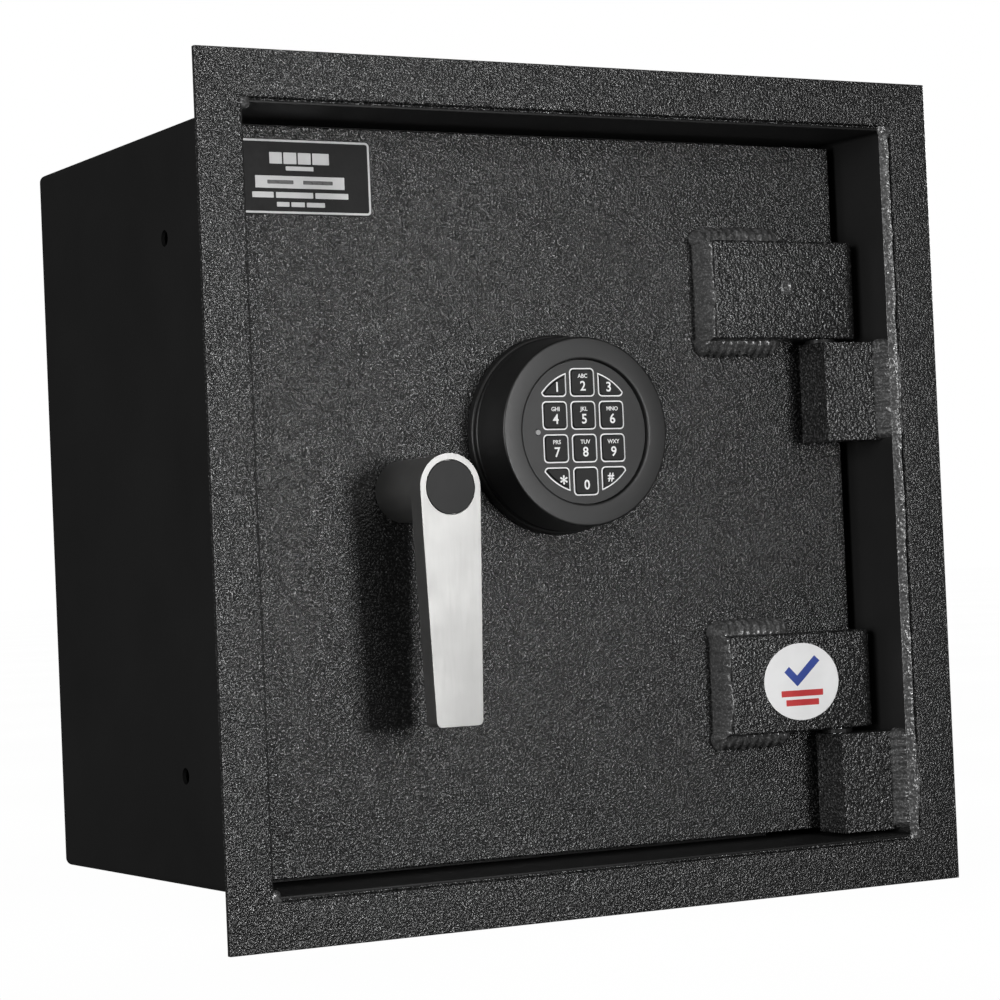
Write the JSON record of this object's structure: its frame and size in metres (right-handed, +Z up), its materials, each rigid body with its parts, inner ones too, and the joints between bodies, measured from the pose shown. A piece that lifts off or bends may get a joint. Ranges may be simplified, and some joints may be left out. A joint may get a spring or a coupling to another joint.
{
  "type": "in-wall safe",
  "caption": "Square in-wall safe box with a wide front flange, a recessed door on block hinges, a round keypad, a turning lever handle and sliding bolts.",
  "frame": {"origin": "centre of the wall opening, in the plane of the wall surface, which is the plane of the flange's back face", "axes": "+X to the right and +Z up as seen from the room, +Y into the wall, from the flange towards the back plate"},
  "size_m": [0.4064, 0.261, 0.4064],
  "materials": {
    "powder_coat": "textured charcoal powder coat",
    "body_paint": "smooth satin black paint",
    "bright_steel": "turned bright steel",
    "satin_nickel": "satin nickel plating on cast metal",
    "black_plastic": "fine-textured black moulding",
    "key_rubber": "matte black keypad rubber",
    "zinc": "zinc-plated steel",
    "bronze": "plain bearing bronze",
    "label_print": "printed black film",
    "sticker_print": "printed white film",
    "circuit_board": "solder-masked board",
    "battery_case": "battery sleeve",
    "lamp_lens": "milky lens"
  },
  "bodies": {
    "safe_body": {"flange_top": "powder_coat", "flange_bottom": "powder_coat", "flange_left": "powder_coat", "flange_right": "powder_coat", "frame_hinge_block_upper": "powder_coat", "frame_hinge_block_lower": "powder_coat", "side_left": "body_paint", "side_right": "body_paint", "top_sheet": "body_paint", "bottom_sheet": "body_paint", "back_plate": "body_paint", "strike_bar": "body_paint", "stop_bar_top": "body_paint", "stop_bar_bottom": "body_paint", "hinge_pin_upper": "bright_steel", "hinge_pin_lower": "bright_steel", "thrust_washer_upper": "body_paint", "thrust_washer_lower": "body_paint"},
    "door": {"door_plate": "powder_coat", "door_hinge_block_upper": "powder_coat", "door_hinge_block_lower": "powder_coat", "spindle_bushing": "bronze", "label_plate": "label_print", "round_sticker": "sticker_print", "hard_plate": "zinc", "lock_case": "zinc", "bolt_guide": "body_paint", "boltwork_cover": "body_paint", "cover_screw_upper_left": "zinc", "cover_screw_upper_right": "zinc", "cover_screw_lower_left": "zinc", "cover_screw_lower_right": "zinc", "keypad_base": "black_plastic", "keypad_housing": "black_plastic", "keypad_face": "black_plastic", "status_lamp": "lamp_lens", "keypad_circuit_board": "circuit_board", "keypad_battery": "battery_case"},
    "handle": {"handle_lever": "satin_nickel", "handle_cap": "black_plastic", "handle_spindle": "bright_steel", "crank_arm": "zinc"},
    "boltwork": {"bolt_carrier": "zinc", "live_bolt_upper": "bright_steel", "live_bolt_middle": "bright_steel", "live_bolt_lower": "bright_steel"},
    "lock_slide": {"lock_bolt": "bronze"},
    "key_1_button": {"key_1": "key_rubber"},
    "key_2_button": {"key_2": "key_rubber"},
    "key_3_button": {"key_3": "key_rubber"},
    "key_4_button": {"key_4": "key_rubber"},
    "key_5_button": {"key_5": "key_rubber"},
    "key_6_button": {"key_6": "key_rubber"},
    "key_7_button": {"key_7": "key_rubber"},
    "key_8_button": {"key_8": "key_rubber"},
    "key_9_button": {"key_9": "key_rubber"},
    "key_star_button": {"key_star": "key_rubber"},
    "key_0_button": {"key_0": "key_rubber"},
    "key_hash_button": {"key_hash": "key_rubber"}
  },
  "joints": [
    {"name": "door_hinge", "type": "hinge", "parent": "safe_body", "child": "door", "pos_m": [0.154, 0.0288, 0], "axis": [0, 0, 1], "range_deg": [0, 100]},
    {"name": "handle_turn", "type": "hinge", "parent": "door", "child": "handle", "pos_m": [-0.0844, 0.04127, 0.0027], "axis": [0, -1, 0], "range_deg": [0, 60]},
    {"name": "bolt_slide", "type": "slide", "parent": "door", "child": "boltwork", "axis": [-1, 0, 0], "range_m": [0, 0.01906]},
    {"name": "lock_bolt_slide", "type": "slide", "parent": "door", "child": "lock_slide", "axis": [0, 0, -1], "range_m": [0, 0.009]},
    {"name": "key_1_press", "type": "slide", "parent": "door", "child": "key_1_button", "axis": [0, 1, 0], "range_m": [0, 0.001], "stiffness_N_per_m": 400},
    {"name": "key_2_press", "type": "slide", "parent": "door", "child": "key_2_button", "axis": [0, 1, 0], "range_m": [0, 0.001], "stiffness_N_per_m": 400},
    {"name": "key_3_press", "type": "slide", "parent": "door", "child": "key_3_button", "axis": [0, 1, 0], "range_m": [0, 0.001], "stiffness_N_per_m": 400},
    {"name": "key_4_press", "type": "slide", "parent": "door", "child": "key_4_button", "axis": [0, 1, 0], "range_m": [0, 0.001], "stiffness_N_per_m": 400},
    {"name": "key_5_press", "type": "slide", "parent": "door", "child": "key_5_button", "axis": [0, 1, 0], "range_m": [0, 0.001], "stiffness_N_per_m": 400},
    {"name": "key_6_press", "type": "slide", "parent": "door", "child": "key_6_button", "axis": [0, 1, 0], "range_m": [0, 0.001], "stiffness_N_per_m": 400},
    {"name": "key_7_press", "type": "slide", "parent": "door", "child": "key_7_button", "axis": [0, 1, 0], "range_m": [0, 0.001], "stiffness_N_per_m": 400},
    {"name": "key_8_press", "type": "slide", "parent": "door", "child": "key_8_button", "axis": [0, 1, 0], "range_m": [0, 0.001], "stiffness_N_per_m": 400},
    {"name": "key_9_press", "type": "slide", "parent": "door", "child": "key_9_button", "axis": [0, 1, 0], "range_m": [0, 0.001], "stiffness_N_per_m": 400},
    {"name": "key_star_press", "type": "slide", "parent": "door", "child": "key_star_button", "axis": [0, 1, 0], "range_m": [0, 0.001], "stiffness_N_per_m": 400},
    {"name": "key_0_press", "type": "slide", "parent": "door", "child": "key_0_button", "axis": [0, 1, 0], "range_m": [0, 0.001], "stiffness_N_per_m": 400},
    {"name": "key_hash_press", "type": "slide", "parent": "door", "child": "key_hash_button", "axis": [0, 1, 0], "range_m": [0, 0.001], "stiffness_N_per_m": 400}
  ],
  "couplings": [
    {"joint": "bolt_slide", "follows": "handle_turn", "m_per_rad": 0.018191}
  ]
}
